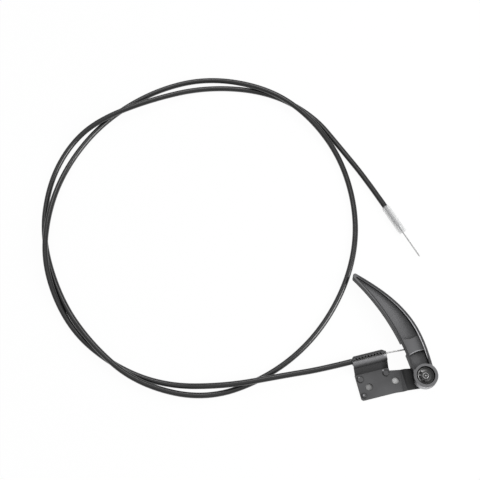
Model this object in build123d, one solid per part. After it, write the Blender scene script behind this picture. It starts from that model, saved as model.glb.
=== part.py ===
from build123d import *
from math import cos, pi, radians, sin
import os

# Hood release cable: a stamped bracket with a crimp clamp, a moulded pull lever on a riveted pivot,
# a jacketed cable of one and three quarter turns, and a bare wire end for the latch.
# Millimetres. The origin lies on the bracket's back face, midway between its two mounting holes.
# X runs along the hole line, Y towards the clamp, Z out of the back face towards the lever.

# Bracket sheet
SHEET = 1.8
HOLE_SPACING = 25.4
HOLE_R = 3.25
PLATE_LEFT = -23.1
PLATE_RIGHT = 9.8
PLATE_BOTTOM = -11.0
PLATE_CORNER_R = 2.6
NOTCH_Y = 10.6
FOLD_Y = 13.6
BOSSES = ((-18.9, 8.9, 2.9), (6.0, 8.9, 2.7), (-19.5, -6.7, 2.2))
BOSS_RISE = 1.0
BOSS_DRAFT = 5.0
BOSS_WALL = 0.35

# Arm and pivot
PIVOT_X = 39.2
PIVOT_Y = -4.4
ARM_END_R = 9.4
JOGGLE_X = 20.4
JOGGLE_RUN = 4.2
JOGGLE_TURN = -8.0
ARM_RISE = 2.9
BEND_R = 1.5

# Crimp clamp
CABLE_Y = 26.0
CABLE_Z = 8.4
CONDUIT_R = 2.5
FIT_GAP = 0.05
CREST_FOOT = (19.6, 8.4)
CREST_Y = 20.0
CREST_Z = 13.0
CREST_R = 2.6
CREST_FOLD_R = 1.2
WRAP_START = 135.0
LIP_ANGLE = 95.0
CLAMP_CHAMFER = 3.0
CRIMP_NOTCHES = 9
CRIMP_PITCH = 2.9
CRIMP_WIDTH = 1.3
CRIMP_SLANT = 35.0
CRIMP_LENGTH = 2.2
CRIMP_DEPTH = 3.0
CRIMP_OFFSET = 0.5

# Conduit and wire at the lever's end
CONDUIT_PROUD = 1.2
COIL_GROOVES = 12
GROOVE_DEPTH = 0.4
WIRE_R = 0.75
WIRE_GAP = 0.15
WIRE_TAIL = 29.0
WIRE_KINK = 1.2
WIRE_BEND_R = 8.0
NIPPLE_X = 31.8
NIPPLE_Y = 24.7
NIPPLE_R = 2.5
NIPPLE_H = 4.6

# Pivot stack
RIVET_R = 2.5
RIVET_TAIL_R = 4.2
RIVET_TAIL_H = 1.6
RIVET_HEAD_R = 3.1
RIVET_HEAD_H = 1.9
HEX_R = 2.0
HEX_DEPTH = 0.8
BUSH_R = 4.0
BUSH_H = 5.9
RUN_GAP = 0.05
THRUST_R = 8.4
THRUST_H = 0.5
AXIAL_GAP = 0.1
SPRING_WASHER_GAP = 1.0
SPRING_WASHER_H = 0.8
WINDOW_INNER_EDGE = 1.25
WINDOW_OUTER_EDGE = 1.4
WINDOW_ANGLES = (112, 178, 245)

# Lever
LEVER_H = 10.0
WEB = 2.0
WALL = 1.8
CONVEX_WALL = 2.8
CONCAVE_EDGE = ((29.1, -1.5), (20.8, 55.0), (1.0, 102.6))
CONVEX_EDGE = ((4.3, 107.0), (15.2, 95.2), (33.9, 69.9), (44.5, 45.3), (48.3, 10.0), (48.0, -2.0))
LEVER_TIP = (0.9, 106.2)
CUP_R = 11.4
CUP_WALL = 2.8
HUB_R = 5.8
PLATFORM_DROP = 3.4
PLATFORM_HIGH_EDGE = ((24.0, 37.6), (34.7, 32.9), (47.0, 36.8))
PLATFORM_LOW_EDGE = ((47.0, 18.6), (36.0, 19.0), (26.0, 14.4))
PLATFORM_SLOPE = 0.8
ROOF = 1.2
SOCKET_GAP = 0.9
SOCKET_Y = 24.4
SLOT_R = 1.5
SLOT_REACH = 9.0
SLOT_ANGLES = (172, 213)
SLOT_ROOF = 1.3
WIRE_NOTCH = (19.5, 31.3)
WIRE_NOTCH_X = (23.2, 28.6)
WIRE_NOTCH_TOP = 3.0
LEVER_ROUND = 1.9
RIM_ROUND = 0.5

# Cable
JACKET_R = 2.75
ARC_SHARE = 0.45
FLOOR_Z = 2.8
HUMP_Z = 13.8
END_Z = 4.05

# Latch end
SLEEVE_R = 4.0
SLEEVE_LENGTH = 31.2
SLEEVE_OVERLAP = 3.0
LINER_R = 1.6
LINER_LENGTH = 23.0
LATCH_WIRE_OUT = 30.0
LATCH_WIRE_IN = 6.0

# The cable's route from the clamp to the latch end, as corners of its path.
# The two turns cross five times, and the upper one passes in a long low hump.
ROUTE = [
    (-53, 26.0, CABLE_Z),
    (-86, 27.5, HUMP_Z),
    (-142, 34.3, HUMP_Z),
    (-199, 51, FLOOR_Z),
    (-247, 81, FLOOR_Z),
    (-280.5, 128, FLOOR_Z),
    (-291.6, 196.8, HUMP_Z),
    (-277.4, 255.2, HUMP_Z),
    (-248, 304, FLOOR_Z),
    (-203, 340, FLOOR_Z),
    (-145, 361.5, FLOOR_Z),
    (-86, 362, FLOOR_Z),
    (-26.5, 329.5, HUMP_Z),
    (6.6, 286, HUMP_Z),
    (27, 229, FLOOR_Z),
    (23, 162, FLOOR_Z),
    (-5, 108, FLOOR_Z),
    (-47, 57, FLOOR_Z),
    (-103, 34, FLOOR_Z),
    (-165, 25, FLOOR_Z),
    (-224.5, 56.5, HUMP_Z),
    (-258, 102, HUMP_Z),
    (-281, 158, FLOOR_Z),
    (-289, 226, FLOOR_Z),
    (-276, 281, FLOOR_Z),
    (-247, 318, 4.0),
    (-212, 339, HUMP_Z),
    (-154.5, 349.5, HUMP_Z),
    (-92, 354, FLOOR_Z),
    (-31, 327, FLOOR_Z),
    (13, 292, FLOOR_Z),
    (28, 243, FLOOR_Z),
    (42.5, 204.5, END_Z),
]
JACKET_END = Vector(52.8, 170.1, END_Z)

# Heights and places that follow from the values above
ARM_TOP = ARM_RISE + SHEET
THRUST_TOP = ARM_TOP + THRUST_H
LEVER_Z = THRUST_TOP + AXIAL_GAP
LEVER_TOP = LEVER_Z + LEVER_H
LEVER_FLOOR = LEVER_Z + WEB
PLATFORM_TOP = LEVER_TOP - PLATFORM_DROP
SOCKET_TOP = PLATFORM_TOP - ROOF
BUSH_TOP = ARM_TOP + BUSH_H
HUB_TOP = BUSH_TOP - AXIAL_GAP
HEAD_Z = BUSH_TOP + SPRING_WASHER_H
TROUGH_R = CONDUIT_R + FIT_GAP + SHEET / 2
CLAMP_FAR = CABLE_Y + TROUGH_R + SHEET / 2
PIVOT = Pos(PIVOT_X, PIVOT_Y)


def sheet_section(path, plane, depth):
    """A bent sheet: its centre line thickened to the sheet's gauge, drawn on a plane, both ways deep."""
    return extrude(plane * trace(path, SHEET), amount=depth, both=True)


def prism(outline, low, high):
    """A flat outline as a solid between two heights."""
    return extrude(Pos(0, 0, low) * outline, amount=high - low)


def ring(outer, inner, low, high):
    """A plain ring around the pivot."""
    return PIVOT * prism(Circle(outer) - Circle(inner), low, high)


def post(radius, low, high):
    """A plain round solid on the pivot's axis."""
    return PIVOT * prism(Circle(radius), low, high)


def plate_outline():
    """The blank of plate and arm, seen from the front."""
    width = PLATE_RIGHT - PLATE_LEFT
    height = FOLD_Y - PLATE_BOTTOM
    centre = Pos((PLATE_RIGHT + PLATE_LEFT) / 2, (FOLD_Y + PLATE_BOTTOM) / 2)
    plate = centre * Rectangle(width, height)
    corner = plate.vertices().sort_by(Axis.Y)[:2].sort_by(Axis.X)[0]
    plate = fillet(corner, PLATE_CORNER_R)
    root = Line((PLATE_RIGHT, PLATE_BOTTOM), (PLATE_RIGHT, NOTCH_Y))
    arm = make_hull([root, (PIVOT * Circle(ARM_END_R)).edge()])
    return plate + arm


def joggled_sheet():
    """Plate and arm as one sheet with its step, cut to the blank's outline."""
    low = SHEET / 2
    high = low + ARM_RISE
    half_run = JOGGLE_RUN / 2
    line = FilletPolyline(
        (-60, low), (-half_run, low), (half_run, high), (60, high), radius=BEND_R
    )
    sheet = Pos(JOGGLE_X, 0) * Rot(0, 0, JOGGLE_TURN) * sheet_section(line, Plane.XZ, 60)
    return sheet & prism(plate_outline(), -1, ARM_TOP + 1)


def clamp_section():
    """The clamp's sheet: up from the plate, over a crest, then all round the conduit to the lip."""
    mid = SHEET / 2
    start = radians(WRAP_START)
    start_y = CABLE_Y + TROUGH_R * cos(start)
    start_z = CABLE_Z + TROUGH_R * sin(start)
    fold_y = start_y - (CREST_Z - start_z) * sin(start) / cos(start)
    rise = FilletPolyline(
        (FOLD_Y - 2, mid),
        (FOLD_Y + 0.4, mid),
        CREST_FOOT,
        (CREST_Y, CREST_Z),
        (fold_y, CREST_Z),
        (start_y, start_z),
        radius=(BEND_R, BEND_R, CREST_R, CREST_FOLD_R),
    )
    wrap = CenterArc((CABLE_Y, CABLE_Z), TROUGH_R, WRAP_START, 360 - WRAP_START + LIP_ANGLE)
    return rise + wrap


def clamp_outline():
    """The clamp seen from the front, with its two far corners trimmed."""
    far = CLAMP_FAR
    cut = CLAMP_CHAMFER
    corners = [
        (PLATE_LEFT + 0.4, FOLD_Y - 2),
        (PLATE_RIGHT, FOLD_Y - 2),
        (PLATE_RIGHT, far - cut),
        (PLATE_RIGHT - cut, far),
        (PLATE_LEFT + cut, far),
        (PLATE_LEFT + 0.4, far - cut),
    ]
    return make_face(Polyline(*corners, close=True))


def make_bracket():
    """The stamped bracket, one piece of sheet steel."""
    clamp = sheet_section(clamp_section(), Plane.YZ, 40)
    clamp &= prism(clamp_outline(), -1, CABLE_Z + 2 * TROUGH_R)
    first = (PLATE_LEFT + PLATE_RIGHT) / 2 - CRIMP_PITCH * (CRIMP_NOTCHES - 1) / 2
    lip_y = CABLE_Y + TROUGH_R * cos(radians(LIP_ANGLE)) + CRIMP_OFFSET
    for i in range(CRIMP_NOTCHES):
        place = Pos(first + i * CRIMP_PITCH, lip_y, CABLE_Z + TROUGH_R)
        clamp -= place * Rot(0, 0, CRIMP_SLANT) * Box(CRIMP_WIDTH, CRIMP_LENGTH, CRIMP_DEPTH)
    bracket = joggled_sheet() + clamp
    for x, y, r in BOSSES:
        bracket += Pos(x, y, SHEET) * extrude(Circle(r), amount=BOSS_RISE, taper=BOSS_DRAFT)
        bracket -= Pos(x, y) * extrude(Circle(r - BOSS_WALL), amount=BOSS_RISE)
    for side in (-1, 1):
        bracket -= Pos(side * HOLE_SPACING / 2, 0) * Cylinder(HOLE_R, 4 * SHEET)
    bracket -= PIVOT * Cylinder(RIVET_R + FIT_GAP, 4 * ARM_TOP)
    return bracket


def lever_outline():
    """The lever without its pivot cup, seen from the front."""
    concave = ThreePointArc(*CONCAVE_EDGE)
    tip = ThreePointArc(CONCAVE_EDGE[-1], LEVER_TIP, CONVEX_EDGE[0])
    convex = Spline(*CONVEX_EDGE)
    foot = Line(CONVEX_EDGE[-1], CONCAVE_EDGE[0])
    return make_face(Curve() + [concave, tip, convex, foot])


def inset(points, distance):
    """An edge's points moved to the right of its direction."""
    moved = []
    for i, point in enumerate(points):
        before = Vector(*points[max(i - 1, 0)])
        after = Vector(*points[min(i + 1, len(points) - 1)])
        run = (after - before).normalized()
        moved.append(Vector(*point) + Vector(run.Y, -run.X) * distance)
    return moved


def lever_pockets():
    """The open channel between the rims, down to the cup, with a thicker rim on the convex side."""
    concave = ThreePointArc(*inset(CONCAVE_EDGE, WALL))
    convex = Spline(*inset(CONVEX_EDGE, CONVEX_WALL))
    right = [concave, Polyline(concave @ 1, (90, 120), (90, -20), concave @ 0)]
    left = [convex, Polyline(convex @ 1, (-50, -20), (-50, 120), convex @ 0)]
    channel = make_face(Curve() + right) & make_face(Curve() + left)
    return channel - PIVOT * Circle(CUP_R - RIM_ROUND)


def platform_outline():
    """The raised block over the cable's socket, between two curved edges."""
    high = ThreePointArc(*PLATFORM_HIGH_EDGE)
    low = ThreePointArc(*PLATFORM_LOW_EDGE)
    sides = [Line(high @ 1, low @ 0), Line(low @ 1, high @ 0)]
    return make_face(Curve() + [high, low] + sides)


def make_lever():
    """The moulded lever: a channel with rims, a pivot cup and a socket for the cable's nipple."""
    outline = lever_outline()
    body = prism(outline, LEVER_Z, LEVER_TOP)
    rim = body.faces().sort_by(Axis.Z)[-1].edges()
    convex = rim.sort_by(Edge.length)[-1]
    body = fillet(convex, LEVER_ROUND)
    cup = post(CUP_R, LEVER_Z, LEVER_TOP)
    cup = fillet(cup.faces().sort_by(Axis.Z)[-1].edges(), RIM_ROUND)
    lever = body + cup
    pockets = lever_pockets()
    lever -= prism(pockets, LEVER_FLOOR, LEVER_TOP + 1)
    block = prism(pockets & platform_outline(), LEVER_Z, PLATFORM_TOP)
    low_edge = block.faces().sort_by(Axis.Z)[-1].edges().sort_by(Axis.Y)[0]
    lever += chamfer(low_edge, PLATFORM_SLOPE)
    lever -= ring(CUP_R - CUP_WALL, HUB_R, LEVER_FLOOR, LEVER_TOP + 1)
    lever -= ring(HUB_R + 1, BUSH_R, HUB_TOP, LEVER_TOP + 1)
    lever -= post(BUSH_R + RUN_GAP, LEVER_Z - 1, LEVER_TOP + 1)
    lever -= socket_cut()
    return lever


def socket_cut():
    """The nipple's socket, the fan-shaped slot for the wire and the notch in the concave wall."""
    centre = Vector(NIPPLE_X, SOCKET_Y)
    socket = prism(Pos(*centre) * Circle(NIPPLE_R + SOCKET_GAP), LEVER_Z - 1, SOCKET_TOP)
    circles = [(Pos(*centre) * Circle(SLOT_R)).edge()]
    for angle in SLOT_ANGLES:
        end = centre + Vector(cos(radians(angle)), sin(radians(angle))) * SLOT_REACH
        circles.append((Pos(*end) * Circle(SLOT_R)).edge())
    fan = prism(make_hull(circles), LEVER_Z - 1, CABLE_Z + SLOT_ROOF)
    low, high = WIRE_NOTCH
    left, right = WIRE_NOTCH_X
    window = Pos((left + right) / 2, (low + high) / 2) * Rectangle(right - left, high - low)
    notch = prism(window, LEVER_Z - 1, LEVER_TOP - WIRE_NOTCH_TOP)
    return socket + fan + notch


def make_rivet():
    """The pivot rivet: formed tail, shank and a staked head with a hexagonal recess and centre dot."""
    tail = prism(Circle(RIVET_TAIL_R), ARM_RISE - RIVET_TAIL_H, ARM_RISE)
    tail = chamfer(tail.faces().sort_by(Axis.Z)[0].edges(), 0.7)
    shank = prism(Circle(RIVET_R), ARM_RISE, HEAD_Z)
    head = prism(Circle(RIVET_HEAD_R), HEAD_Z, HEAD_Z + RIVET_HEAD_H)
    head = chamfer(head.faces().sort_by(Axis.Z)[-1].edges(), 0.4)
    top = HEAD_Z + RIVET_HEAD_H
    recess = prism(RegularPolygon(HEX_R, 6) - Circle(HEX_R / 4), top - HEX_DEPTH, top + 1)
    return PIVOT * (tail + shank + head - recess)


def make_spring_washer():
    """The dished washer under the rivet head, with its small windows."""
    outer = CUP_R - CUP_WALL - SPRING_WASHER_GAP
    bore = RIVET_R + FIT_GAP
    window = (outer - bore - WINDOW_INNER_EDGE - WINDOW_OUTER_EDGE) / 2
    flat = Circle(outer) - Circle(bore)
    for angle in WINDOW_ANGLES:
        spot = Vector(cos(radians(angle)), sin(radians(angle))) * (bore + WINDOW_INNER_EDGE + window)
        flat -= Pos(*spot) * Circle(window)
    washer = prism(flat, BUSH_TOP, HEAD_Z)
    rims = washer.faces().sort_by(Axis.Z)[-1].edges()
    return PIVOT * chamfer(rims.sort_by(Edge.length)[-1], SPRING_WASHER_H / 2)


def make_lever_conduit():
    """The cable's coiled steel conduit, bare in the clamp, with a groove between its turns."""
    start = PLATE_LEFT + 0.4
    end = PLATE_RIGHT + CONDUIT_PROUD
    pitch = (end - start) / (COIL_GROOVES + 1)
    rim = [(0, CONDUIT_R)]
    for i in range(1, COIL_GROOVES + 1):
        x = i * pitch
        rim += [(x - GROOVE_DEPTH, CONDUIT_R), (x, CONDUIT_R - GROOVE_DEPTH), (x + GROOVE_DEPTH, CONDUIT_R)]
    rim += [(end - start, CONDUIT_R)]
    bore = WIRE_R + WIRE_GAP
    profile = Polyline((0, bore), *rim, (end - start, bore), close=True)
    return Pos(start, CABLE_Y, CABLE_Z) * revolve(make_face(profile), Axis.X)


def make_pull_wire():
    """The inner wire from inside the conduit to the nipple."""
    mouth = PLATE_RIGHT + CONDUIT_PROUD
    path = FilletPolyline(
        (mouth - WIRE_TAIL, CABLE_Y, CABLE_Z),
        (mouth + WIRE_KINK, CABLE_Y, CABLE_Z),
        (NIPPLE_X, NIPPLE_Y, CABLE_Z),
        radius=WIRE_BEND_R,
    )
    start = Plane(path @ 0, z_dir=path % 0)
    return sweep(start * Circle(WIRE_R), path=path)


def make_nipple(wire):
    """The barrel nipple cast on the wire's end."""
    middle = (LEVER_Z + SOCKET_TOP) / 2
    barrel = Pos(NIPPLE_X, NIPPLE_Y, middle) * Cylinder(NIPPLE_R, NIPPLE_H)
    barrel = chamfer(barrel.edges().filter_by(GeomType.CIRCLE), 0.3)
    return barrel - wire


def cable_path():
    """Straight runs and tangent arcs from the clamp to the latch end."""
    points = [Vector(PLATE_LEFT + 0.4, CABLE_Y, CABLE_Z)] + [Vector(*p) for p in ROUTE] + [JACKET_END]
    radii = []
    for before, corner, after in zip(points, points[1:], points[2:]):
        run_in = corner - before
        run_out = after - corner
        half_turn = radians(run_in.get_angle(run_out)) / 2
        radii.append(ARC_SHARE * min(run_in.length, run_out.length) * cos(half_turn) / sin(half_turn))
    print("cable radii", [round(r) for r in radii])
    return FilletPolyline(*points, radius=radii)


def make_jacket():
    """The black jacket, one plain tube along the whole route."""
    path = cable_path()
    start = Plane(path @ 0, z_dir=path % 0)
    jacket = sweep(start * Circle(JACKET_R), path=path)
    expected = pi * JACKET_R ** 2 * path.length
    print("cable length", round(path.length, 1), "volume", round(jacket.volume / expected, 4))
    return jacket


def latch_plane(reach):
    """A plane square to the cable's last run, at a distance past the jacket's end."""
    direction = (JACKET_END - Vector(*ROUTE[-1])).normalized()
    return Plane(JACKET_END + direction * reach, z_dir=direction)


def latch_tube(outer, inner, low, high):
    """A round or tubular piece along the latch end's axis, between two distances."""
    section = Circle(outer) - Circle(inner) if inner else Circle(outer)
    return extrude(latch_plane(low) * section, amount=high - low)


def build_parts():
    """Every piece by its name."""
    wire = make_pull_wire()
    bore = WIRE_R + WIRE_GAP
    return {
        "bracket": make_bracket(),
        "pivot_rivet": make_rivet(),
        "pivot_bush": ring(BUSH_R, RIVET_R + FIT_GAP, ARM_TOP, BUSH_TOP),
        "thrust_washer": ring(THRUST_R, BUSH_R + FIT_GAP, ARM_TOP, THRUST_TOP),
        "spring_washer": make_spring_washer(),
        "lever": make_lever(),
        "lever_conduit": make_lever_conduit(),
        "pull_wire": wire,
        "cable_nipple": make_nipple(wire),
        "cable_jacket": make_jacket(),
        "end_sleeve": latch_tube(SLEEVE_R, JACKET_R + FIT_GAP, -SLEEVE_OVERLAP, SLEEVE_LENGTH),
        "latch_liner": latch_tube(LINER_R, bore, 0, LINER_LENGTH),
        "latch_wire": latch_tube(WIRE_R, 0, LINER_LENGTH - LATCH_WIRE_IN, SLEEVE_LENGTH + LATCH_WIRE_OUT),
    }


os.makedirs("parts", exist_ok=True)
for name, solid in build_parts().items():
    export_step(solid, f"parts/{name}.step")
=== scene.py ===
from math import cos, hypot, pi, radians, sin

import bpy
from mathutils import Matrix, Vector


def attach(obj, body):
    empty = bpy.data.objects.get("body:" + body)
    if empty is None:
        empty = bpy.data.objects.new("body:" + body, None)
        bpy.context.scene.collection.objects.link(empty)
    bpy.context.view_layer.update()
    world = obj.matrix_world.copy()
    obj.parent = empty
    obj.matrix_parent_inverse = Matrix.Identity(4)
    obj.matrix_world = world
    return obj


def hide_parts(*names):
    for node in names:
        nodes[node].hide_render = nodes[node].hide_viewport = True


# Hood release cable, dressed for a still on a white table. Metres, in the frame of the solids.

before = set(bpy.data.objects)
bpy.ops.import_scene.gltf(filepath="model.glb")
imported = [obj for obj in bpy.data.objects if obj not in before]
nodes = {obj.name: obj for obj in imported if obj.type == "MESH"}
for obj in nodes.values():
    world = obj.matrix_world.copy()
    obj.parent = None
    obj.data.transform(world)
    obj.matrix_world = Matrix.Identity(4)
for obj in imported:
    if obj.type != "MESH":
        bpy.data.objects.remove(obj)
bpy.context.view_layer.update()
MM = 0.001
CASING = "bracket_and_casing"

# The camera, as worked out from the photograph
EYE = Vector((-0.12172, -0.16004, 0.9))
RIGHT = Vector((0.97075, -0.23282, -0.05865))
UP = Vector((0.23858, 0.90806, 0.34425))
FORWARD = Vector((0.02689, 0.34818, -0.93704))
LENS = 72.035

# The cable's route, the same points as the solid's, with lower humps where it crosses itself
FLOOR = 2.8
HUMP = 9.8
ROUTE = [
    (-22.7, 26.0, 8.4),
    (-53, 26.0, 8.4),
    (-86, 28.5, HUMP),
    (-142.5, 32, HUMP),
    (-200.5, 48, FLOOR),
    (-246, 81, FLOOR),
    (-280.5, 129.5, FLOOR),
    (-292, 196, HUMP),
    (-276, 254.5, HUMP),
    (-247, 303.5, FLOOR),
    (-203, 340, FLOOR),
    (-145, 361, FLOOR),
    (-86, 361, FLOOR),
    (-28.5, 328.5, HUMP),
    (6, 285, HUMP),
    (26, 229, FLOOR),
    (22.5, 162, FLOOR),
    (-2.5, 106, FLOOR),
    (-47.5, 58.5, FLOOR),
    (-102.5, 31.5, FLOOR),
    (-165.5, 25.5, FLOOR),
    (-224.5, 55, HUMP),
    (-259, 102, HUMP),
    (-282.5, 157.5, FLOOR),
    (-289.5, 225.5, FLOOR),
    (-274, 280, FLOOR),
    (-247, 318, 4.0),
    (-211.5, 338, HUMP),
    (-154.5, 347.5, HUMP),
    (-92, 351, FLOOR),
    (-30.5, 329, FLOOR),
    (9.5, 289.5, FLOOR),
    (28, 243, FLOOR),
    (42.5, 204.5, 4.05),
    (52.8, 170.1, 4.05),
]
JACKET_R = 2.75 * MM

# Inner wire and conduit, in millimetres
CONDUIT = ((-22.6, 26.0, 8.4), (10.9, 26.0, 8.4))
COIL_TURN_R = 2.06
COIL_PITCH = 1.05
COIL_WIRE_R = 0.43
TUBE_R = 1.6
STRAND_R = 0.25
STRAND_TURN_R = 0.5
STRAND_LAY = 8.0
PULL_PATH = ((-18.0, 26.0, 8.4), (12.2, 26.0, 8.4), (31.5, 24.72, 8.4))
LATCH_END = Vector((52.8, 170.1, 4.05))
LATCH_WAY = Vector((0.28684, -0.95798, 0.0))

# Along that way from the jacket's end: the shown wire's two ends, and the sleeve's end
LATCH_WIRE = (17.0, 61.1)
SLEEVE_PAST = 31.0

# The lever's pivot and its washer's bowl, as rings of radius and height, in millimetres. The
# windows lie between the given rings, from one angle to another.
PIVOT = (39.2, -4.4)
BOWL_RINGS = (
    (2.6, 11.35), (3.3, 11.35), (3.7, 11.40), (4.4, 11.55), (5.3, 11.80), (6.0, 12.18),
    (6.8, 12.72), (7.5, 13.10), (8.0, 13.22),
)
BOWL_STEPS = 120
BOWL_SHEET = 0.5
WINDOW_RINGS = (3, 4)
WINDOW_ANGLES = ((120, 150), (166, 208), (228, 246))

# The pocket's floor in millimetres: its height, where it starts to rise and how steeply. Level
# faces of the same height that lie before FLOOR_FACES are not its own.
POCKET_FLOOR = 7.3
FLOOR_START = 32.0
FLOOR_SLOPE = 0.07
FLOOR_FACES = 33.0

# Heights of the lever's wall and block edges, in hundredths of a millimetre
WALL_FOOT = (700, 1400)
RIM_EDGE = 1525
BLOCK_EDGE = 1190

# No edge nearer to the pivot than this, in millimetres, belongs to the pocket
CUP_CLEAR = 11.9

# Ways in the lever's plane: out of the cup's wall where its painted highlight lies, and across the
# lever's upper half
CUP_FRONT = (-0.55, -0.835, 0.0)
ACROSS_TOP = (0.937, 0.349, 0.0)

# Painted light and shade as grey tones by place: the bracket's, then the lever's
ARM_SHADE_TONE = 0.026
RISER_SHADE_TONE = 0.042
CUT_SHADE_TONE = 0.006
CREST_HIGHLIGHT_TONE = 0.225
LIP_SHADE_TONE = 0.055
TIP_LIGHT_TONE = 0.17
RIM_SHADE_TONE = 0.05
RIM_HIGHLIGHT_TONE = 0.135
WALL_SHADE_TONE = 0.015
CUP_HIGHLIGHT_TONE = 0.48
BEAD_DIM_HIGHLIGHT_TONE = 0.09

# Painted highlights: the crest's end, the edges of two bosses and the end of the fold. Place, reach and
# tone of each.
HIGHLIGHT_SPOTS = (
    ((0.0086, 0.0238, 0.0137), 0.0019, 0.50),
    ((-0.0197, 0.0112, 0.0026), 0.0011, 0.34),
    ((-0.0199, -0.0063, 0.0026), 0.0011, 0.34),
    ((0.0043, 0.0119, 0.0022), 0.0013, 0.55),
)


def add(owner, kind, inputs=None, **settings):
    """A node of a material or a world, with its plain settings and the values of its sockets."""
    node = owner.node_tree.nodes.new(kind)
    for key, value in settings.items():
        setattr(node, key, value)
    for key, value in (inputs or {}).items():
        node.inputs[key].default_value = value
    return node


def join(owner, source, out, target, into):
    """A link from one node's output to another's input."""
    owner.node_tree.links.new(source.outputs[out], target.inputs[into])


def bare_material(name):
    """A material with an empty tree."""
    made = bpy.data.materials.new(name)
    made.use_nodes = True
    made.node_tree.nodes.clear()
    return made


def new_material(name):
    """A material whose shader is linked to its output."""
    made = bare_material(name)
    shader = add(made, "ShaderNodeBsdfPrincipled")
    output = add(made, "ShaderNodeOutputMaterial")
    join(made, shader, "BSDF", output, "Surface")
    return made, shader


def noise(material, scale, detail=3.0):
    """Noise in the frame's own coordinates, so that it keeps its size on every piece."""
    place = add(material, "ShaderNodeTexCoord")
    texture = add(material, "ShaderNodeTexNoise", {"Scale": scale, "Detail": detail, "Roughness": 0.5})
    join(material, place, "Object", texture, "Vector")
    return texture


def ramp(material, source, out, low, high, to_low, to_high):
    """A clamped straight remap of one value."""
    remap = add(material, "ShaderNodeMapRange", {
        "From Min": low, "From Max": high, "To Min": to_low, "To Max": to_high})
    join(material, source, out, remap, "Value")
    return remap


def rising(material, source, out, low, high):
    """Nought up to the low value, one from the high value on."""
    return ramp(material, source, out, low, high, 0.0, 1.0)


def falling(material, source, out, low, high):
    """One up to the low value, nought from the high value on."""
    return ramp(material, source, out, low, high, 1.0, 0.0)


def mix_colour(material, factor, out, low, high):
    """Two colours mixed by a factor; either may be a node or a plain grey."""
    mix = add(material, "ShaderNodeMix", data_type="RGBA")
    join(material, factor, out, mix, "Factor")
    for key, value in (("A", low), ("B", high)):
        socket = [s for s in mix.inputs if s.name == key and s.type == "RGBA"][0]
        if isinstance(value, bpy.types.Node):
            result = [s for s in value.outputs if s.type == "RGBA"][0]
            material.node_tree.links.new(result, socket)
        else:
            socket.default_value = value
    return mix


def colour_out(mix):
    """A mix node's colour output."""
    return [s for s in mix.outputs if s.type == "RGBA"][0]


def grey(value, blue=0.0):
    """A grey, a little bluer by the share given."""
    return (value, value, value * (1 + blue), 1.0)


def edge_mask(material, radius, low, high):
    """One along edges, nought on open faces: how far a rounded normal leans from the plain one."""
    rounded = add(material, "ShaderNodeBevel", {"Radius": radius}, samples=8)
    plain = add(material, "ShaderNodeNewGeometry")
    dot = add(material, "ShaderNodeVectorMath", operation="DOT_PRODUCT")
    join(material, rounded, "Normal", dot, 0)
    join(material, plain, "Normal", dot, 1)
    return falling(material, dot, "Value", low, high), rounded


def bumped(material, shader, texture, out, strength, distance, base=None):
    """Fine relief on a shader, over a rounded normal where one is given."""
    bump = add(material, "ShaderNodeBump", {"Strength": strength, "Distance": distance})
    join(material, texture, out, bump, "Height")
    if base:
        join(material, base, "Normal", bump, "Normal")
    join(material, bump, "Normal", shader, "Normal")


def coated(name, dark, light, rough, grain, bump, edge, edge_radius=0.00035, zones=None,
           crease=(0.85, 0.5)):
    """A painted or moulded surface: mottled colour, fine grain, edges and zones toned with painted
    light, creases darkened with painted shade.

    The crease's two values are how open a place is before the painted shade begins, and how dark it
    gets.
    """
    made, shader = new_material(name)
    broad = noise(made, 45, 3)
    fine = noise(made, grain, 4)
    spread = rising(made, broad, "Fac", 0.35, 0.65)
    body = mix_colour(made, spread, "Result", grey(dark, 0.03), grey(light, 0.03))
    gloss = ramp(made, fine, "Fac", 0.3, 0.7, rough - 0.06, rough + 0.06)
    join(made, gloss, "Result", shader, "Roughness")
    # Painted light on edges: the edge tone is a painted highlight where it is lighter than the body, a
    # painted shade where it is darker.
    painted_edge, rounded = edge_mask(made, edge_radius, 0.80, 0.985)
    body = mix_colour(made, painted_edge, "Result", body, grey(edge, 0.02))
    for mask, tone in zones(made) if zones else ():
        body = mix_colour(made, mask, 0, body, grey(tone, 0.03))
    # Painted shade: creases and corners darken by how closed in they are.
    corner = add(made, "ShaderNodeAmbientOcclusion", {"Distance": 0.0016}, samples=8, only_local=True)
    open_enough, darkest = crease
    shade = ramp(made, corner, "AO", open_enough - 0.4, open_enough, darkest, 0.0)
    body = mix_colour(made, shade, "Result", body, grey(0.004))
    made.node_tree.links.new(colour_out(body), shader.inputs["Base Color"])
    bumped(made, shader, fine, "Fac", bump, 0.00006, rounded)
    return made, shader


def along_latch(material):
    """How far a place lies along the straight wire at the latch end."""
    place = add(material, "ShaderNodeTexCoord")
    along = add(material, "ShaderNodeVectorMath", {1: LATCH_WAY}, operation="DOT_PRODUCT")
    join(material, place, "Object", along, 0)
    return along


def product(material, *factors):
    """The product of several remapped values."""
    result = factors[0]
    for factor in factors[1:]:
        times = add(material, "ShaderNodeMath", operation="MULTIPLY")
        join(material, result, 0, times, 0)
        join(material, factor, 0, times, 1)
        result = times
    return result


def place_axes(material):
    """The place and the facing on a piece, each split into its three axes."""
    source = add(material, "ShaderNodeTexCoord")
    place = add(material, "ShaderNodeSeparateXYZ")
    facing = add(material, "ShaderNodeSeparateXYZ")
    join(material, source, "Object", place, "Vector")
    join(material, source, "Normal", facing, "Vector")
    return source, place, facing


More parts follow.
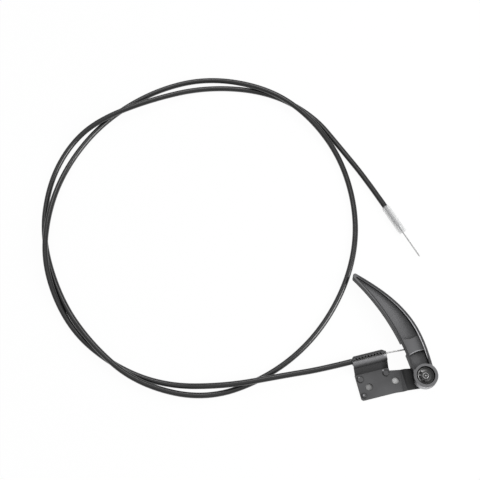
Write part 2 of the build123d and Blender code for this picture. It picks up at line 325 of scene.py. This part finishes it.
def bracket_zones(material):
    """Painted shade on the arm, the riser and its end, the lip and the cut sides; a painted highlight
    on the crest and at a few spots.
    """
    source, place, facing = place_axes(material)
    arm = rising(material, place, "X", 0.0203, 0.0207)
    riser = falling(material, facing, "Y", -0.5, -0.3)
    end = rising(material, place, "X", 0.0025, 0.0095)
    riser_end = product(material, riser, end)
    side = falling(material, facing, "Z", 0.3, 0.6)
    low = falling(material, place, "Z", 0.0020, 0.0022)
    cut = product(material, side, low)
    high = rising(material, place, "Z", 0.0118, 0.0128)
    across = rising(material, place, "Y", 0.0192, 0.0242)
    before = falling(material, place, "Y", 0.0252, 0.0255)
    crest = product(material, high, across, before)
    beyond = rising(material, place, "Y", 0.0255, 0.0258)
    top = rising(material, place, "Z", 0.0095, 0.0105)
    lip = product(material, beyond, top)
    # Painted shade on the arm, riser, cut sides and lip; a painted highlight along the crest
    zones = [
        (arm, ARM_SHADE_TONE), (riser, RISER_SHADE_TONE), (riser_end, CUT_SHADE_TONE), (cut, CUT_SHADE_TONE),
        (crest, CREST_HIGHLIGHT_TONE), (lip, LIP_SHADE_TONE),
    ]
    # Each spot is a painted highlight, fading out to its reach
    for middle, reach, tone in HIGHLIGHT_SPOTS:
        away = add(material, "ShaderNodeVectorMath", {1: middle}, operation="DISTANCE")
        join(material, source, "Object", away, 0)
        zones.append((falling(material, away, "Value", 0.2 * reach, reach), tone))
    return zones


def lever_zones(material):
    """Painted light on the lever: painted shade on its rim tops and walls, painted light on the
    pocket's floor towards the tip, and painted highlights on the concave rim's upper part and the front
    of its pivot cup's wall.
    """
    source, place, facing = place_axes(material)
    high = rising(material, place, "Z", 0.0147, 0.0151)
    hub = (PIVOT[0] * MM, PIVOT[1] * MM, 0.0153)
    away = add(material, "ShaderNodeVectorMath", {1: hub}, operation="DISTANCE")
    join(material, source, "Object", away, 0)
    far = rising(material, away, "Value", 0.0114, 0.0118)
    rim = product(material, high, far)
    wall = falling(material, facing, "Z", 0.5, 0.9)
    toward = add(material, "ShaderNodeVectorMath", {1: CUP_FRONT}, operation="DOT_PRODUCT")
    join(material, source, "Normal", toward, 0)
    front = rising(material, toward, "Value", 0.40, 1.0)
    below = falling(material, place, "Y", -0.0110, -0.0060)
    cup = product(material, front, below)
    flat = rising(material, facing, "Z", 0.9, 0.97)
    low = falling(material, place, "Z", 0.0140, 0.0145)
    tipward = rising(material, place, "Y", 0.035, 0.095)
    tip_floor = product(material, flat, low, tipward)
    across = add(material, "ShaderNodeVectorMath", {1: ACROSS_TOP}, operation="DOT_PRODUCT")
    join(material, source, "Object", across, 0)
    concave = falling(material, across, "Value", 0.040, 0.042)
    upper = rising(material, place, "Y", 0.035, 0.080)
    rim_highlight = product(material, rim, concave, upper)
    # Painted light: a lighter floor towards the tip, shaded rims and walls, highlights on the upper
    # concave rim and the cup's front wall
    return (
        (tip_floor, TIP_LIGHT_TONE), (rim, RIM_SHADE_TONE), (rim_highlight, RIM_HIGHLIGHT_TONE), (wall, WALL_SHADE_TONE),
        (cup, CUP_HIGHLIGHT_TONE),
    )


def bead_zones(material):
    """The bead's painted highlight, dimmer towards the lever's tip."""
    place = place_axes(material)[1]
    return ((rising(material, place, "Y", 0.035, 0.085), BEAD_DIM_HIGHLIGHT_TONE),)


def metal(name, tone, rough, grain, metallic=1.0):
    """Plated or drawn steel with a fine grain."""
    made, shader = new_material(name)
    shader.inputs["Metallic"].default_value = metallic
    streaks = noise(made, grain, 4)
    tone_mix = mix_colour(made, streaks, "Fac", grey(tone * 0.82), grey(min(tone * 1.12, 1.0)))
    made.node_tree.links.new(colour_out(tone_mix), shader.inputs["Base Color"])
    gloss = ramp(made, streaks, "Fac", 0.3, 0.7, rough - 0.07, rough + 0.07)
    join(made, gloss, "Result", shader, "Roughness")
    rounded = add(made, "ShaderNodeBevel", {"Radius": 0.0002}, samples=6)
    bumped(made, shader, streaks, "Fac", 0.15, 0.00003, rounded)
    return made


# Painted light on these surfaces: the bracket's edges are darkened as painted shade, the lever's edges
# lightened as a painted highlight.
steel_black, steel_shader = coated(
    "satin_black_coat", dark=0.070, light=0.088, rough=0.32, grain=1500, bump=0.12, edge=0.012,
    edge_radius=0.0008, zones=bracket_zones, crease=(0.94, 0.95))
steel_shader.inputs["Specular IOR Level"].default_value = 0.25
moulding, moulding_shader = coated(
    "black_moulding", dark=0.115, light=0.140, rough=0.46, grain=1100, bump=0.22, edge=0.24,
    edge_radius=0.0006, zones=lever_zones, crease=(0.85, 0.6))
moulding_shader.inputs["Specular IOR Level"].default_value = 0.12
jacket_black, jacket_shader = coated(
    "black_jacket", dark=0.006, light=0.011, rough=0.24, grain=900, bump=0.03, edge=0.011)
jacket_shader.inputs["Specular IOR Level"].default_value = 0.65
# Painted light on the beads: a bright bead colour as a painted highlight, a dark one as painted shade
bead_highlight, _ = coated(
    "bead_painted_highlight", dark=0.40, light=0.50, rough=0.30, grain=1100, bump=0.0, edge=0.50,
    zones=bead_zones)
bead_shade, _ = coated(
    "bead_painted_shade", dark=0.022, light=0.030, rough=0.50, grain=1100, bump=0.0, edge=0.03)
zinc = metal("zinc_plate", tone=0.62, rough=0.30, grain=900)
zinc_rivet = metal("zinc_rivet", tone=0.62, rough=0.30, grain=900)
dark_spring = metal("dark_spring_steel", tone=0.085, rough=0.42, grain=900)
# The conduit's coil: a dark steel tone that also serves as painted shade in the clamp's seam
coil_steel_shaded = metal("coil_steel_shaded", tone=0.16, rough=0.30, grain=1200)
strand_steel = metal("strand_steel", tone=0.60, rough=0.50, grain=1500, metallic=0.6)
strand_latch = metal("strand_steel_darkened", tone=0.60, rough=0.50, grain=1500, metallic=0.6)

sleeve_clear, sleeve_shader = new_material("clear_sleeve")
sleeve_shader.inputs["Base Color"].default_value = (0.66, 0.665, 0.67, 1.0)
sleeve_shader.inputs["Roughness"].default_value = 0.22
sleeve_grain = noise(sleeve_clear, 300, 3)
bumped(sleeve_clear, sleeve_shader, sleeve_grain, "Fac", 0.12, 0.0001)

# The sleeve is clear where it sits tight on the jacket, and milky past the jacket's end
jacket_end = (LATCH_END * MM).dot(LATCH_WAY)
along = along_latch(sleeve_clear)
sleeve_milk = ramp(sleeve_clear, along, "Value", jacket_end - 0.0003, jacket_end + 0.0005, 0.0, 0.31)
join(sleeve_clear, sleeve_milk, "Result", sleeve_shader, "Alpha")

liner_grey, liner_shader = new_material("grey_liner")
liner_shader.inputs["Roughness"].default_value = 0.4
liner_spots = noise(liner_grey, 400, 3)
liner_mix = mix_colour(liner_grey, liner_spots, "Fac", grey(0.25), grey(0.33))
liner_grey.node_tree.links.new(colour_out(liner_mix), liner_shader.inputs["Base Color"])


def dress(material, *names):
    """Gives carried-over solids their material."""
    for name in names:
        node = nodes[name]
        node.data.materials.clear()
        node.data.materials.append(material)


dress(steel_black, "bracket")
dress(moulding, "lever")
dress(zinc, "pivot_bush", "thrust_washer", "cable_nipple")
dress(zinc_rivet, "pivot_rivet")
dress(sleeve_clear, "end_sleeve")
dress(liner_grey, "latch_liner")


def linked(name, data):
    """An object of its own for a mesh, curve, lamp or camera, in the scene."""
    made = bpy.data.objects.new(name, data)
    bpy.context.scene.collection.objects.link(made)
    return made


def mesh_object(name, verts, faces, material):
    """A mesh from its points and faces, in metres."""
    mesh = bpy.data.meshes.new(name)
    mesh.from_pydata(verts, [], faces)
    mesh.materials.append(material)
    return linked(name, mesh)


def curve_object(name, kind, points, radius, material, around=4):
    """A round curve through points, or steered by them, in millimetres."""
    data = bpy.data.curves.new(name, "CURVE")
    data.dimensions = "3D"
    data.bevel_depth = radius
    data.bevel_resolution = around
    data.use_fill_caps = True
    spline = data.splines.new(kind)
    spline.points.add(len(points) - 1)
    for target, point in zip(spline.points, points):
        target.co = (point[0] * MM, point[1] * MM, point[2] * MM, 1.0)
    if kind == "NURBS":
        spline.order_u = 3
        spline.use_endpoint_u = True
        spline.resolution_u = 12
    data.materials.append(material)
    return linked(name, data)


def helix(path, turn_r, pitch, phase=0.0, steps=14):
    """Points of a helix round a straight or gently bent path, in millimetres."""
    corners = [Vector(p) for p in path]
    points = []
    done = 0.0
    for a, b in zip(corners, corners[1:]):
        run = b - a
        way = run.normalized()
        side = way.cross(Vector((0, 0, 1))).normalized()
        over = side.cross(way)
        count = max(2, int(run.length / pitch * steps))
        for i in range(count):
            along = run.length * i / count
            angle = 2 * pi * (done + along) / pitch + phase
            off_line = side * (turn_r * cos(angle)) + over * (turn_r * sin(angle))
            points.append(a + way * along + off_line)
        done += run.length
    return points


def strand(name, path, body, node_name, finish):
    """A wire rope of six strands round a core, in place of a plain wire solid."""
    pieces = [curve_object(name + "_core", "POLY", path, STRAND_R * MM, finish, 2)]
    for i in range(6):
        turns = helix(path, STRAND_TURN_R, STRAND_LAY, i * pi / 3)
        pieces.append(curve_object(f"{name}_strand_{i}", "POLY", turns, STRAND_R * MM, finish, 2))
    for piece in pieces:
        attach(piece, body)
        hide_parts(node_name)
    return pieces


def retone(material, mask, tone):
    """Another tone where the mask is one."""
    shader = material.node_tree.nodes["Principled BSDF"]
    plain = shader.inputs["Base Color"].links[0].from_node
    body = mix_colour(material, mask, 0, plain, grey(tone))
    material.node_tree.links.new(colour_out(body), shader.inputs["Base Color"])


def from_pivot(material):
    """The place relative to the pivot's axis, with no height, and its distance from the axis."""
    source = add(material, "ShaderNodeTexCoord")
    hub = (PIVOT[0] * MM, PIVOT[1] * MM, 0.0)
    offset = add(material, "ShaderNodeVectorMath", {1: hub}, operation="SUBTRACT")
    flat = add(material, "ShaderNodeVectorMath", {1: (1.0, 1.0, 0.0)}, operation="MULTIPLY")
    away = add(material, "ShaderNodeVectorMath", operation="LENGTH")
    join(material, source, "Object", offset, 0)
    join(material, offset, 0, flat, 0)
    join(material, flat, 0, away, 0)
    return flat, away


def arc(material, bearing, near, far):
    """A crescent round the pivot, towards a bearing in degrees, between two reaches in millimetres."""
    flat, away = from_pivot(material)
    way = (cos(radians(bearing)), sin(radians(bearing)), 0.0)
    reach = add(material, "ShaderNodeVectorMath", {1: way}, operation="DOT_PRODUCT")
    join(material, flat, 0, reach, 0)
    begins = rising(material, reach, "Value", (near - 0.2) * MM, (near + 0.1) * MM)
    ends = falling(material, away, "Value", (far - 0.3) * MM, far * MM)
    return product(material, begins, ends)


def ring(material, near, far):
    """A ring round the pivot's axis, between two radii in millimetres."""
    away = from_pivot(material)[1]
    begins = rising(material, away, "Value", (near - 0.15) * MM, (near + 0.15) * MM)
    ends = falling(material, away, "Value", (far - 0.2) * MM, far * MM)
    return product(material, begins, ends)


# Painted shade in the rivet's staked hollow and on the washer's outer rim, and painted highlights as
# the washer's two bright arcs
retone(zinc_rivet, ring(zinc_rivet, near=0.55, far=2.5), 0.10)
retone(dark_spring, ring(dark_spring, near=6.3, far=9.0), 0.055)
retone(dark_spring, arc(dark_spring, bearing=95, near=4.5, far=6.0), 0.19)
retone(dark_spring, arc(dark_spring, bearing=190, near=6.2, far=7.1), 0.42)

# The wire is darker up to the sleeve's end
sleeve_end = jacket_end + SLEEVE_PAST * MM
along = along_latch(strand_latch)
in_sleeve = falling(strand_latch, along, "Value", sleeve_end - 0.0003, sleeve_end)
retone(strand_latch, in_sleeve, 0.05)


def dished_washer():
    """The spring washer as a thin bowl round the rivet's head, with three windows."""
    verts = []
    for r, z in BOWL_RINGS:
        for i in range(BOWL_STEPS):
            a = 2 * pi * i / BOWL_STEPS
            verts.append(((PIVOT[0] + r * cos(a)) * MM, (PIVOT[1] + r * sin(a)) * MM, z * MM))
    faces = []
    for k in range(len(BOWL_RINGS) - 1):
        inner, outer = k * BOWL_STEPS, (k + 1) * BOWL_STEPS
        for i in range(BOWL_STEPS):
            angle = 360.0 * (i + 0.5) / BOWL_STEPS
            if k in WINDOW_RINGS and any(low < angle < high for low, high in WINDOW_ANGLES):
                continue
            j = (i + 1) % BOWL_STEPS
            faces.append((inner + i, outer + i, outer + j, inner + j))
    made = mesh_object("spring_washer_bowl", verts, faces, dark_spring)
    made.data.polygons.foreach_set("use_smooth", [True] * len(faces))
    thick = made.modifiers.new("thickness", "SOLIDIFY")
    thick.thickness = BOWL_SHEET * MM
    thick.offset = 1.0
    return made


bowl = dished_washer()
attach(bowl, CASING)
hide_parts("spring_washer")


def spot(index):
    """A vertex's place in hundredths of a millimetre, the same for the vertices that meet there."""
    place = nodes["lever"].data.vertices[index].co / MM
    return tuple(round(c * 100) for c in place)


def pocket_edges():
    """Edges along the top of the pocket's outer and inner walls, and along the block's low edge."""
    outer, inner, block = set(), set(), set()
    for face in nodes["lever"].data.polygons:
        foot = min(spot(i)[2] for i in face.vertices)
        wall = abs(face.normal.z) < 0.1 and WALL_FOOT[0] < foot < WALL_FOOT[1]
        for first, second in face.edge_keys:
            ends = (spot(first), spot(second))
            level = abs(ends[0][2] - ends[1][2]) < 3
            reach = min(hypot(x / 100 - PIVOT[0], y / 100 - PIVOT[1]) for x, y, z in ends)
            if level and wall and reach > CUP_CLEAR and ends[0][2] > RIM_EDGE:
                (outer if face.normal.x < 0 else inner).add(ends)
            if level and 0.4 < face.normal.z < 0.9 and abs(ends[0][2] - BLOCK_EDGE) < 3:
                block.add(ends)
    return outer, inner, block


def chains(pairs):
    """Edges joined end to end into point lists."""
    near = {}
    for a, b in pairs:
        near.setdefault(a, set()).add(b)
        near.setdefault(b, set()).add(a)
    unused = {frozenset(pair) for pair in pairs}
    found = []
    starts = sorted(v for v, n in near.items() if len(n) == 1) + sorted(near)
    for start in starts:
        line = [start]
        while True:
            onward = sorted(n for n in near[line[-1]] if frozenset((line[-1], n)) in unused)
            if not onward:
                break
            unused.discard(frozenset((line[-1], onward[0])))
            line.append(onward[0])
        if len(line) > 1:
            found.append([tuple(c / 100 for c in point) for point in line])
    return found


# Rounded beads that the mould left along the pocket's upper edges and the block's low edge, each
# with its radius and its lift in millimetres. The outer and block beads carry a painted highlight,
# the inner bead a painted line of shade.
BEADS = (
    ("outer_bead", 0.52, -0.20, bead_highlight),
    ("inner_bead", 0.44, -0.24, bead_shade),
    ("block_bead", 0.34, -0.10, bead_highlight),
)

# Lines with no more points than this get no bead
SHORT_LINE = 7
for (name, radius, lift, finish), pairs in zip(BEADS, pocket_edges()):
    for i, line in enumerate(line for line in chains(pairs) if len(line) > SHORT_LINE):
        points = [(x, y, z + lift) for x, y, z in line]
        bead = curve_object(f"{name}_{i}", "POLY", points, radius * MM, finish, 3)
        for k, point in enumerate(bead.data.splines[0].points):
            point.radius = min(1.0, 0.3 + 0.25 * min(k, len(points) - 1 - k))
        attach(bead, "pull_lever")


def rising_floor():
    """The pocket's level floor again, on a gentle slope towards the lever's tip."""
    source = nodes["lever"].data
    faces = []
    for face in source.polygons:
        level = face.normal.z > 0.99 and abs(face.center.z / MM - POCKET_FLOOR) < 0.05
        if level and face.center.y / MM > FLOOR_FACES:
            faces.append(face)
    used = sorted({i for f in faces for i in f.vertices})
    order = {old: new for new, old in enumerate(used)}
    verts = []
    for i in used:
        place = source.vertices[i].co
        rise = max(place.y / MM - FLOOR_START, 0.0) * FLOOR_SLOPE
        verts.append((place.x, place.y, (POCKET_FLOOR + 0.02 + rise) * MM))
    return mesh_object("rising_floor", verts, [[order[i] for i in f.vertices] for f in faces], moulding)


sloped = rising_floor()
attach(sloped, "pull_lever")

cable = curve_object("cable", "NURBS", ROUTE, JACKET_R, jacket_black, 9)
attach(cable, CASING)
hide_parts("cable_jacket")

strand("pull_strand", PULL_PATH, "inner_wire_lever_end", "pull_wire", strand_steel)
latch_path = [LATCH_END + LATCH_WAY * along for along in LATCH_WIRE]
latch_strands = strand("latch_strand", latch_path, "inner_wire_latch_end", "latch_wire", strand_latch)

coil_path = helix(CONDUIT, COIL_TURN_R, COIL_PITCH, steps=18)
coil = curve_object("conduit_coil", "POLY", coil_path, COIL_WIRE_R * MM, coil_steel_shaded, 2)
tube = curve_object("conduit_liner", "POLY", CONDUIT, TUBE_R * MM, liner_grey)
for piece, slot in ((coil, "conduit_steel"), (tube, "grey_liner")):
    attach(piece, CASING)
    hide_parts("lever_conduit")


def stage_sheet(name, low, high, height, material):
    """A level rectangle of the stage between two corners."""
    corners = [(low[0], low[1], 0), (high[0], low[1], 0), (high[0], high[1], 0), (low[0], high[1], 0)]
    made = mesh_object(name, corners, [(0, 1, 2, 3)], material)
    made.location.z = height


# The white table: white to the camera and to mirrors, but for the share that keeps its shadow
OWN_WHITE = 0.955
white = bare_material("white_table")
matte = add(white, "ShaderNodeBsdfDiffuse", {"Color": grey(0.92)})
plain = add(white, "ShaderNodeEmission", {"Color": grey(1.0), "Strength": 1.0})
path = add(white, "ShaderNodeLightPath")
either = add(white, "ShaderNodeMath", operation="MAXIMUM")
join(white, path, "Is Camera Ray", either, 0)
join(white, path, "Is Glossy Ray", either, 1)
any_ray = add(white, "ShaderNodeMath", operation="MAXIMUM")
join(white, either, 0, any_ray, 0)
join(white, path, "Is Transmission Ray", any_ray, 1)
share = add(white, "ShaderNodeMath", {1: OWN_WHITE}, operation="MULTIPLY")
join(white, any_ray, 0, share, 0)
blend = add(white, "ShaderNodeMixShader")
join(white, share, 0, blend, 0)
join(white, matte, "BSDF", blend, 1)
join(white, plain, "Emission", blend, 2)
surface = add(white, "ShaderNodeOutputMaterial")
join(white, blend, "Shader", surface, "Surface")
stage_sheet("table", (-4.0, -4.0), (4.0, 4.0), -0.0001, white)

# A painted shadow: a grey strip of table under the plate, seen through its two holes, darker to the
# left
shaded = bare_material("painted_shadow_table")
shade_place = add(shaded, "ShaderNodeTexCoord")
shade_split = add(shaded, "ShaderNodeSeparateXYZ")
join(shaded, shade_place, "Object", shade_split, "Vector")
shade_fall = rising(shaded, shade_split, "X", -0.0127, 0.0127)
shade_tone = mix_colour(shaded, shade_fall, "Result", grey(0.26), grey(0.52))
shade_matte = add(shaded, "ShaderNodeBsdfDiffuse")
shaded.node_tree.links.new(colour_out(shade_tone), shade_matte.inputs["Color"])
shade_surface = add(shaded, "ShaderNodeOutputMaterial")
join(shaded, shade_matte, "BSDF", shade_surface, "Surface")
stage_sheet("table_under_plate", (-0.019, -0.006), (0.019, 0.007), -0.00005, shaded)

# The world, brighter overhead, and plain white to the camera
SKY = ((0.0, 0.22), (0.35, 0.32), (0.7, 0.68), (1.0, 0.88))
world = bpy.data.worlds.new("studio")
world.use_nodes = True
bpy.context.scene.world = world
world.node_tree.nodes.clear()
soft = add(world, "ShaderNodeBackground", {"Strength": 1.0})
way_out = add(world, "ShaderNodeTexCoord")
parts = add(world, "ShaderNodeSeparateXYZ")
bands = add(world, "ShaderNodeValToRGB")
while len(bands.color_ramp.elements) < len(SKY):
    bands.color_ramp.elements.new(0.5)
for stop, (height, level) in zip(bands.color_ramp.elements, SKY):
    stop.position = height
    stop.color = grey(level)
join(world, way_out, "Generated", parts, 0)
join(world, parts, "Z", bands, 0)
join(world, bands, "Color", soft, "Color")
seen = add(world, "ShaderNodeBackground", {"Color": grey(1.0), "Strength": 1.0})
rays = add(world, "ShaderNodeLightPath")
mixer = add(world, "ShaderNodeMixShader")
sky = add(world, "ShaderNodeOutputWorld")
join(world, rays, "Is Camera Ray", mixer, 0)
join(world, soft, 0, mixer, 1)
join(world, seen, 0, mixer, 2)
join(world, mixer, 0, sky, "Surface")


def lamp(name, place, target, size, power):
    """A square soft lamp aimed at a point."""
    data = bpy.data.lights.new(name, "AREA")
    data.size = size
    data.energy = power
    made = linked(name, data)
    made.location = place
    made.rotation_euler = (Vector(target) - Vector(place)).to_track_quat("-Z", "Y").to_euler()


MIDDLE = (-0.1, 0.17, 0.0)
lamp("right", (0.84, -0.37, 0.68), MIDDLE, 0.7, 12.0)
lamp("back", (0.0, 0.95, 1.05), MIDDLE, 0.5, 2.6)

camera_data = bpy.data.cameras.new("camera")
camera_data.lens = LENS
camera_data.sensor_width = 36.0
camera_data.clip_start = 0.05
camera_data.clip_end = 20.0
camera = linked("camera", camera_data)
turn = Matrix((RIGHT, UP, -FORWARD)).transposed().to_4x4()
camera.matrix_world = Matrix.Translation(EYE) @ turn
bpy.context.scene.camera = camera
bpy.context.scene.view_settings.view_transform = "Standard"
